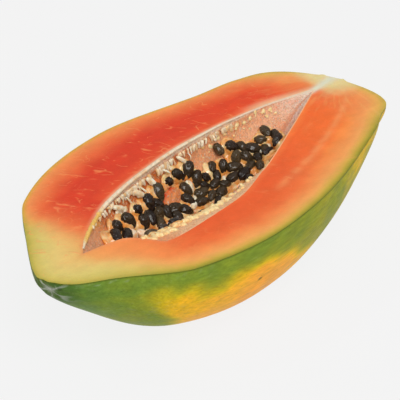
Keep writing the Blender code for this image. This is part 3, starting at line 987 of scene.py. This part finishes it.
def add_seeds(seeds):
    """All the seeds as true-size wrinkled ovoids in one mesh."""
    rng = random.Random(SEED_RANDOM)
    patches = []
    for seed in seeds:
        points = seed_points(rng) * np.array(seed.radii)
        turned = points @ np.array(seed.rotation).T + np.array(seed.middle)
        tone = rng.random()
        tint = blend(to_linear((26, 12, 4)), to_linear((72, 56, 32)), tone ** 1.5)
        patches.append(Patch(turned, np.broadcast_to(tint, turned.shape), 0))
    mesh = joined_patches("seeds", patches)
    return add_piece("seeds", mesh, [seed_material()], "seeds", "seed_cluster")


# -------------------------------------------------------------------------------------------- pulp

# Thick seed strands under the far rim: top and bottom (along, share, lift), radii, sideways bow.
STRANDS = (
    ((-12, 0.99, 0.6), (-9, 0.93, 1.8), 1.0, 1.4, 0.4),
    ((-13, 0.99, 0.6), (-11, 0.95, 1.2), 0.5, 0.4, 0.2),
    ((-39, 0.98, 0.9), (-33, 0.93, 1.8), 1.1, 1.4, 0.3),
    ((-2, 0.98, 0.6), (1, 0.94, 2.6), 0.6, 0.4, 0.8),
    ((3, 0.98, 0.6), (3, 0.95, 1.6), 0.5, 0.5, 0.0),
    ((8, 0.99, 0.6), (12, 0.93, 2.2), 0.8, 1.0, 0.7),
    ((15, 0.98, 0.6), (15, 0.93, 1.6), 0.3, 0.3, 1.2),
    ((-18, 0.98, 0.6), (-16, 0.94, 2.4), 0.4, 0.5, 0.2),
    ((-23, 0.98, 0.8), (-18, 0.93, 2.0), 1.2, 1.4, 0.3),
    ((31, 0.99, 0.4), (31, 0.95, 1.8), 0.5, 0.8, 0.0),
    ((-37, 0.97, 0.6), (-34, 0.86, 1.2), 0.5, 0.6, 0.3),
    ((-28, 0.98, 0.6), (-26, 0.92, 1.4), 0.4, 0.5, 0.3),
)
# Lumps of white pulp among the seeds: along, share, lift, half length, half width, spin in degrees.
LUMPS = (
    (-38, 0.8, 1.2, 1.6, 1.0, 30), (-36, 0.94, 1.0, 1.6, 1.1, 30), (-32, 0.92, 1.4, 1.8, 1.3, 10),
    (-28, 0.8, 1.4, 1.5, 1.0, 60), (-20, 0.95, 1.6, 1.5, 1.2, 10), (-19, -0.4, 3.0, 2.6, 1.8, 20),
    (-14, -0.4, 2.2, 1.8, 1.4, 60), (-3, 0.55, 1.2, 1.7, 1.1, 15), (3, 0.4, 2.4, 2.4, 1.5, 20),
    (8, 0.5, 1.6, 1.8, 1.3, 40), (8, 0.7, 2.6, 2.9, 1.6, 75), (11, -0.7, 2.5, 2.2, 1.5, 20),
    (20, 0.3, 1.2, 1.5, 1.0, 10), (26, 0.4, 1.4, 1.4, 1.0, 50), (35, 0.1, 1.6, 1.5, 1.2, 20),
    (47, 0.0, 2.6, 1.8, 1.3, 30), (50, -0.1, 2.0, 1.4, 1.1, 60),
)
# Watery sacs without a seed near the blossom end: along, share, lift, half length, half width, spin.
SACS = (
    (-38.0, 0.6, 3.0, 2.9, 2.2, 110), (-32.5, 0.52, 3.0, 2.9, 2.1, 125), (-42.0, 0.3, 2.4, 2.2, 1.6, 60),
    (-27.0, 0.5, 2.4, 2.2, 1.6, 100),
)
# Radius of the lining's soft edge along the far rim, at places along the fruit.
RIM_ROLL = (
    (-74, 0.4), (-66, 0.95), (-50, 0.9), (-30, 0.78), (0, 0.7), (20, 0.55), (34, 0.38), (56, 0.24),
    (84, 0.16),
)
# Where that edge starts and ends, its steps, and the short fibres and crumbs at the rims.
ROLL_START = -74
ROLL_END = 84
ROLL_STEPS = 420
FRINGE_START = -60
FRINGE_END = 44
FRINGE_STRANDS = 120
CRUMB_START = -54
CRUMB_END = 12
CRUMB_STEP = 0.9
CRUMBS_EACH_STEP = 3
CRUMBS_THIN_OUT = -10
# Small bumps on the far wall: how many, and between which places along.
BUMPS = 26
BUMP_START = 22
BUMP_END = 66
# Larger bumps on the far wall stand between these places along, this far apart.
FAR_BUMP_START = 24
FAR_BUMP_END = 60
FAR_BUMP_STEP = 3.5
TUBE_SIDES = 8
TUBE_RINGS = 10


def tube(path, radii, sides=TUBE_SIDES):
    """A grid of points round a path, closed to a tip at both ends."""
    rows = []
    for index, (place, radius) in enumerate(zip(path, radii)):
        ahead = path[min(index + 1, len(path) - 1)]
        behind = path[max(index - 1, 0)]
        along = (ahead - behind).normalized()
        first = along.orthogonal().normalized()
        if rows:
            first = (last_first - along * last_first.dot(along)).normalized()
        last_first = first
        second = along.cross(first)
        turns = [2 * math.pi * side / sides for side in range(sides + 1)]
        rows.append([place + (first * math.cos(a) + second * math.sin(a)) * radius for a in turns])
    return np.array([[tuple(point) for point in row] for row in rows])


def strand_points(top, bottom, top_radius, bottom_radius, bow):
    """A tapered strand that bows away from the wall between two places on it."""
    start = wall_place(*top)
    end = wall_place(*bottom)
    steps = [index / (TUBE_RINGS - 1) for index in range(TUBE_RINGS)]
    path = []
    radii = []
    for step in steps:
        bulge = math.sin(math.pi * step) * bow
        path.append(start.lerp(end, step) + Vector((0.2, -0.7, 0.4)) * bulge)
        ends = min(1, math.sqrt(max(0, 4 * min(step, 1 - step) + 0.002)) * 1.2)
        radii.append((top_radius + (bottom_radius - top_radius) * step) * ends)
    return tube(path, radii)


def lump_points(middle, radii, rotation, rough, offset, rings=14, sides=18):
    """A rounded uneven lump."""
    turn, around = np.meshgrid(
        np.linspace(0, math.pi, rings + 1), np.linspace(0, 2 * math.pi, sides + 1), indexing="ij"
    )
    ball = np.stack([-np.cos(turn), np.sin(turn) * np.cos(around), np.sin(turn) * np.sin(around)], axis=-1)
    ball = ball * (1 + rough * waves(ball, 0.8, offset))[..., None]
    return ball * np.array(radii) @ np.array(rotation).T + np.array(middle)


def wall_frame(x, share, spin=0.0):
    """Rotation that stands Z on the wall, with X spun along it."""
    place = wall_place(x, share)
    normal = Vector(hollow_normals(np.float64(place.x), np.float64(place.y)))
    upright = Vector((0, 0, 1)).rotation_difference(normal).to_matrix()
    return upright @ Matrix.Rotation(math.radians(spin), 3, "Z")


def plain_patches(grids, tint=(1, 1, 1)):
    """Patches of one colour from grids of points."""
    return [Patch(points, np.broadcast_to(np.array(tint, dtype=float), points.shape), 0) for points in grids]


def merged(item, voxel, smoothing):
    """Melts the item's overlapping bodies into one soft body."""
    remesh = item.modifiers.new("melt", "REMESH")
    remesh.mode = "VOXEL"
    remesh.voxel_size = voxel * MM
    remesh.use_smooth_shade = True
    smooth = item.modifiers.new("soften", "SMOOTH")
    smooth.factor = 0.5
    smooth.iterations = smoothing
    graph = bpy.context.evaluated_depsgraph_get()
    mesh = bpy.data.meshes.new_from_object(item.evaluated_get(graph))
    item.modifiers.clear()
    item.data = mesh
    return item


def add_rim_roll():
    """The soft cream edge of the lining along the far rim, with short fibres hanging under it."""
    rng = random.Random(3)
    path = []
    radii = []
    for index in range(ROLL_STEPS + 1):
        x = ROLL_START + (ROLL_END - ROLL_START) * index / ROLL_STEPS
        radius = float(knot_value(RIM_ROLL, x))
        far = float(knot_value(HOLLOW_FAR_RIM, x))
        uneven = noise.noise(Vector((x / 1.7, 3.0, 0.0))) * 0.3
        uneven += noise.noise(Vector((x / 5, 7.0, 0.0))) * 0.2
        path.append(Vector((x, far - radius * 0.3, -radius * 0.82 + uneven * 0.25)))
        radii.append(radius * (1 + uneven))
    roll = tube(path, radii, 14)
    gold = smooth_step((-44 - roll[..., 0]) / 8) * smooth_step((roll[..., 0] + 73) / 6)
    pink = smooth_step((roll[..., 0] - 20) / 30)
    tint = np.broadcast_to(to_linear((238, 220, 190)), roll.shape)
    tint = stain(tint, (232, 186, 136), 0.7 * smooth_step(waves(roll, 2.6, 4.0) * 1.8))
    tint = stain(tint, (236, 188, 96), gold)
    tint = stain(tint, (238, 206, 180), pink)
    patches = [Patch(roll, tint, 0)]
    for _ in range(FRINGE_STRANDS):
        x = rng.uniform(FRINGE_START, FRINGE_END)
        drop = rng.uniform(0.01, 0.04)
        top = (x, 0.992, rng.uniform(0.2, 0.5))
        bottom = (x + rng.uniform(-1.2, 1.6), 0.99 - drop, rng.uniform(0.2, 0.8))
        radius = rng.uniform(0.25, 0.75)
        points = strand_points(top, bottom, radius * 1.3, radius * 0.8, rng.uniform(0, 0.5))
        warmth = rng.random()
        color = blend(to_linear((246, 230, 200)), to_linear((232, 182, 122)), warmth)
        patches.append(Patch(points, np.broadcast_to(color, points.shape), 0))
    mesh = joined_patches("rim_lining", patches)
    return add_piece("rim_lining", mesh, [lining_edge_material()], "pulp")


def lining_edge_material():
    """The same moist pulp, in the colours that the piece carries."""
    edge = Finish("lining_edge", specular_ior_level=0.4, subsurface_weight=0.2)
    edge.sink(1.6, 1.1, 0.7)
    color = edge.attribute("tint")
    hairs = edge.noise((0.45, 1.4, 1.4), detail=3)
    color = edge.shade(color, hairs, 0.84, 1.1)
    return edge.finish(color, edge.bump(hairs, 0.2), edge.range(hairs, 0.3, 0.7, 0.5, 0.35))


def add_white_pulp():
    """Thick strands and lumps of white pulp, melted together."""
    grids = []
    for top, bottom, top_radius, bottom_radius, bow in STRANDS:
        grids.append(strand_points(top, bottom, top_radius, bottom_radius, bow))
    for index, (x, share, lift, half_length, half_width, spin) in enumerate(LUMPS):
        radii = (half_length, half_width, half_width * 0.8)
        turned = wall_frame(x, share, spin)
        grids.append(lump_points(wall_place(x, share, lift), radii, turned, 0.3, index * 3.7))
    mesh = joined_patches("white_pulp", plain_patches(grids))
    material = pulp_material("white_pulp", (238, 228, 204), (224, 190, 140), 0.22)
    item = add_piece("white_pulp", mesh, [material], "pulp")
    return merged(item, 0.22, 2)


def bump_points(x, share, radius, rng):
    """A low uneven bump on the wall."""
    frame_matrix = wall_frame(x, share, rng.uniform(0, 180))
    spread = (radius * 1.3, radius, radius * 0.6)
    return lump_points(wall_place(x, share, 0.25), spread, frame_matrix, 0.3, rng.uniform(0, 50), 8, 10)


def add_crumbs():
    """Cream-yellow crumbs of lining along the ledge, and loose bumps on the far wall."""
    rng = random.Random(5)
    grids = []
    x = CRUMB_START
    while x < CRUMB_END:
        near = float(knot_value(HOLLOW_NEAR_RIM, x))
        ledge = float(knot_value(LEDGE_WIDTHS, x))
        for _ in range(CRUMBS_EACH_STEP if x < CRUMBS_THIN_OUT else 1):
            radius = rng.uniform(0.7, 1.35) if x < CRUMBS_THIN_OUT else rng.uniform(0.3, 0.9)
            y = near + ledge + 0.6 - rng.uniform(0, 1) ** 1.8 * min(ledge, 3.4)
            z = -float(hollow_depth(np.float64(x), np.float64(y))) + rng.uniform(-0.2, 0.4)
            middle = Vector((x + rng.uniform(-0.6, 0.6), y, z))
            spread = (radius * rng.uniform(0.9, 1.4), radius, radius * rng.uniform(0.8, 1.1))
            turn = Matrix.Rotation(rng.uniform(0, math.pi), 3, "Z")
            grids.append(lump_points(middle, spread, turn, 0.35, rng.uniform(0, 50), 8, 10))
        x += CRUMB_STEP
    for _ in range(BUMPS):
        x = rng.uniform(BUMP_START, BUMP_END)
        share = rng.uniform(0.86, 0.985) if rng.random() < 0.75 else rng.uniform(0.5, 0.86)
        grids.append(bump_points(x, share, rng.uniform(0.35, 0.7), rng))
    for x in np.arange(FAR_BUMP_START, FAR_BUMP_END, FAR_BUMP_STEP):
        place = x + rng.uniform(-1.5, 1.5)
        grids.append(bump_points(place, rng.uniform(0.92, 0.985), rng.uniform(0.8, 1.2), rng))
    mesh = joined_patches("crumbs", plain_patches(grids))
    material = pulp_material("crumbs", (240, 214, 158), (230, 180, 116), 0.3)
    item = add_piece("crumbs", mesh, [material], "pulp")
    return merged(item, 0.25, 1)


def is_bare(seed):
    """Whether a seed lies alone high on the far wall, without gel."""
    far = float(knot_value(HOLLOW_FAR_RIM, seed.middle.x))
    return seed.middle.x > BARE_START and seed.middle.y > far - BARE_WIDTH


def add_gel(seeds):
    """The watery gel that the seeds sit in, melted from a drop under each seed, with empty sacs."""
    grids = []
    for index, seed in enumerate(seeds):
        if is_bare(seed):
            continue
        normal = Vector(hollow_normals(np.float64(seed.middle.x), np.float64(seed.middle.y)))
        halo = seed.middle - normal * 1.0 - Vector((0, 0, seed.length * 0.07))
        radii = (seed.length * 0.54, seed.length * 0.45, seed.length * 0.34)
        grids.append(lump_points(halo, radii, seed.rotation, 0.06, index * 1.3, 10, 14))
        bed = seed.middle - normal * (seed.length * 0.42)
        spread = (seed.length * 0.8, seed.length * 0.75, seed.length * 0.24)
        grids.append(lump_points(bed, spread, seed.rotation, 0.08, index * 2.3, 10, 14))
    mesh = joined_patches("seed_gel", plain_patches(grids))
    item = add_piece("seed_gel", mesh, [gel_material()], "pulp")
    merged(item, 0.32, 6)
    sacs = []
    for index, (x, share, lift, half_length, half_width, spin) in enumerate(SACS):
        radii = (half_length, half_width, half_width * 0.85)
        turned = wall_frame(x, share, spin)
        sacs.append(lump_points(wall_place(x, share, lift), radii, turned, 0.14, index * 2.9))
    mesh = joined_patches("empty_sacs", plain_patches(sacs))
    material = pulp_material("empty_sacs", (240, 214, 180), (228, 170, 120), 0.12)
    return add_piece("empty_sacs", mesh, [material], "pulp")


def gel_material():
    """Wet gel round the seeds: cream with amber patches under a thin clear coat."""
    gel = Finish(
        "seed_gel", specular_ior_level=0.4, subsurface_weight=0.3, coat_weight=0.4, coat_roughness=0.08
    )
    gel.sink(3, 1.4, 0.6)
    patches = gel.noise((4, 4, 4), detail=2)
    color = gel.mix(screen(238, 206, 150), screen(226, 150, 74), gel.range(patches, 0.34, 0.56))
    grain = gel.noise((1.4, 1.4, 1.4), detail=2)
    color = gel.shade(color, grain, 0.88, 1.1)
    return gel.finish(color, gel.bump(grain, 0.1), gel.range(grain, 0.3, 0.7, 0.14, 0.26))


# A torn flap of lining that stands off the far wall, between these places along and shares.
FLAP_START = -12.0
FLAP_END = 4.0
FLAP_TOP = 0.84
FLAP_BOTTOM = 0.61
FLAP_LIFT = 4.0
FLAP_STEPS = 46


def add_flap():
    """The torn flap: an orange sheet with an uneven bright upper edge."""
    along, down = np.meshgrid(
        np.linspace(0, 1, FLAP_STEPS + 1), np.linspace(0, 1, FLAP_STEPS + 1), indexing="ij"
    )
    top = []
    for index in np.ndindex(along.shape):
        a, d = along[index], down[index]
        x = FLAP_START + (FLAP_END - FLAP_START) * a
        ragged = noise.noise(Vector((x / 2.2, 1.0, 0))) * 0.03
        ragged += noise.noise(Vector((x / 0.8, 5.0, 0))) * 0.01
        crest = FLAP_TOP - 0.16 * (2 * abs(a - 0.55)) ** 2.4 + ragged
        share = crest + (FLAP_BOTTOM - crest) * d
        edge = math.sin(math.pi * a) ** 0.5
        lift = FLAP_LIFT * edge * (0.25 + 0.75 * (1 - d) ** 0.4 * min(1, d * 6 + 0.55))
        wrinkle = noise.noise(Vector((x / 2.4, d * 3, 2))) * 0.6
        top.append(tuple(wall_place(x, share, lift + wrinkle * edge)))
    top = np.array(top).reshape(*along.shape, 3)
    under = np.array([tuple(wall_place(*place)) for place in flap_feet(along, down)]).reshape(top.shape)
    tint = blend(
        np.broadcast_to(to_linear((236, 146, 88)), top.shape), to_linear((232, 74, 32)), np.exp(-down * 10)
    )
    tint = stain(tint, (238, 176, 116), smooth_step(waves(top, 2.4, 6.0) * 1.6 + 0.1) * 0.6)
    border = [(slice(0, 1), slice(None)), (slice(-1, None), slice(None))]
    border += [(slice(None), slice(0, 1)), (slice(None), slice(-1, None))]
    patches = [Patch(top, tint, 0), Patch(under, tint, 0, flipped=True)]
    for rows, columns in border:
        edge_points = np.stack([top[rows, columns].reshape(-1, 3), under[rows, columns].reshape(-1, 3)])
        edge_tint = np.stack([tint[rows, columns].reshape(-1, 3)] * 2)
        patches.append(Patch(edge_points, edge_tint, 0))
    mesh = joined_patches("torn_flap", patches)
    return add_piece("torn_flap", mesh, [lining_material()], "flesh")


def flap_feet(along, down):
    """Places on the wall under the flap."""
    for index in np.ndindex(along.shape):
        a, d = along[index], down[index]
        x = FLAP_START + (FLAP_END - FLAP_START) * a
        crest = FLAP_TOP - 0.16 * (2 * abs(a - 0.55)) ** 2.4
        yield x, crest - 0.02 + (FLAP_BOTTOM - crest) * d, -0.2


# --------------------------------------------------------------------------------- floor and light


FLOOR_HALF = 6.0
FLOOR_PAINT = 0.05
FLOOR_GLOW = 0.85


def add_floor():
    """A plain pale floor that the object's shadow hardly marks."""
    mesh = bpy.data.meshes.new("floor")
    half = FLOOR_HALF
    corners = [(-half, -half, 0), (half, -half, 0), (half, half, 0), (-half, half, 0)]
    mesh.from_pydata(corners, [], [(0, 1, 2, 3)])
    floor = bpy.data.objects.new("floor", mesh)
    bpy.context.scene.collection.objects.link(floor)
    paint = bpy.data.materials.new("floor")
    paint.use_nodes = True
    shader = paint.node_tree.nodes["Principled BSDF"]
    shader.inputs["Base Color"].default_value = (FLOOR_PAINT, FLOOR_PAINT, FLOOR_PAINT, 1)
    shader.inputs["Roughness"].default_value = 1
    shader.inputs["Specular IOR Level"].default_value = 0
    shader.inputs["Emission Color"].default_value = (1, 1, 1, 1)
    shader.inputs["Emission Strength"].default_value = FLOOR_GLOW
    mesh.materials.append(paint)


WORLD_LIGHT = 0.45
KEY_PLACE = Vector((-1.28, -1.6, 2.08))
KEY_SIZE = 1.8
KEY_POWER = 64
GLINT_PLACE = Vector((-0.9, 0.6, 1.8))
GLINT_SIZE = 0.22
GLINT_POWER = 3.2
LAMP_AIM = (0, 0, 0.04)


def aim(item, target):
    """Turns a camera or light to look at a target."""
    item.rotation_euler = (Vector(target) - item.location).to_track_quat("-Z", "Y").to_euler()


def add_lamp(name, size, power, place):
    """A round area lamp that points at the fruit."""
    light = bpy.data.lights.new(name, "AREA")
    light.shape = "DISK"
    light.size = size
    light.energy = power
    lamp = bpy.data.objects.new(name, light)
    lamp.location = place
    bpy.context.scene.collection.objects.link(lamp)
    aim(lamp, LAMP_AIM)


def add_light():
    """Even light from all round, a wide soft light above the near side and a small one for glints."""
    world = bpy.data.worlds.new("studio")
    world.use_nodes = True
    world.node_tree.nodes["Background"].inputs["Color"].default_value = (1, 1, 1, 1)
    world.node_tree.nodes["Background"].inputs["Strength"].default_value = WORLD_LIGHT
    bpy.context.scene.world = world
    add_lamp("key", KEY_SIZE, KEY_POWER, KEY_PLACE)
    add_lamp("glint", GLINT_SIZE, GLINT_POWER, GLINT_PLACE)


# Millimetres for the lens and sensor, metres in the frame for the places.
CAMERA_LENS = 204.7
CAMERA_SENSOR = 36
CAMERA_PLACE = (-0.6363, -0.4624, 0.4889)
CAMERA_AIM = (-0.0050, -0.0036, 0.0401)


def add_camera():
    """From the blossom end and the near side, looking down on the cut face with a long lens."""
    data = bpy.data.cameras.new("camera")
    data.lens = CAMERA_LENS
    data.sensor_width = CAMERA_SENSOR
    camera = bpy.data.objects.new("camera", data)
    camera.location = CAMERA_PLACE
    bpy.context.scene.collection.objects.link(camera)
    aim(camera, CAMERA_AIM)
    bpy.context.scene.camera = camera


def main():
    """Builds every piece, then the floor, the lights and the camera."""
    bpy.context.scene.view_settings.view_transform = "Standard"
    add_fruit()
    seeds = place_seeds()
    add_seeds(seeds)
    add_gel(seeds)
    add_rim_roll()
    add_white_pulp()
    add_crumbs()
    add_flap()
    add_floor()
    add_light()
    add_camera()


main()
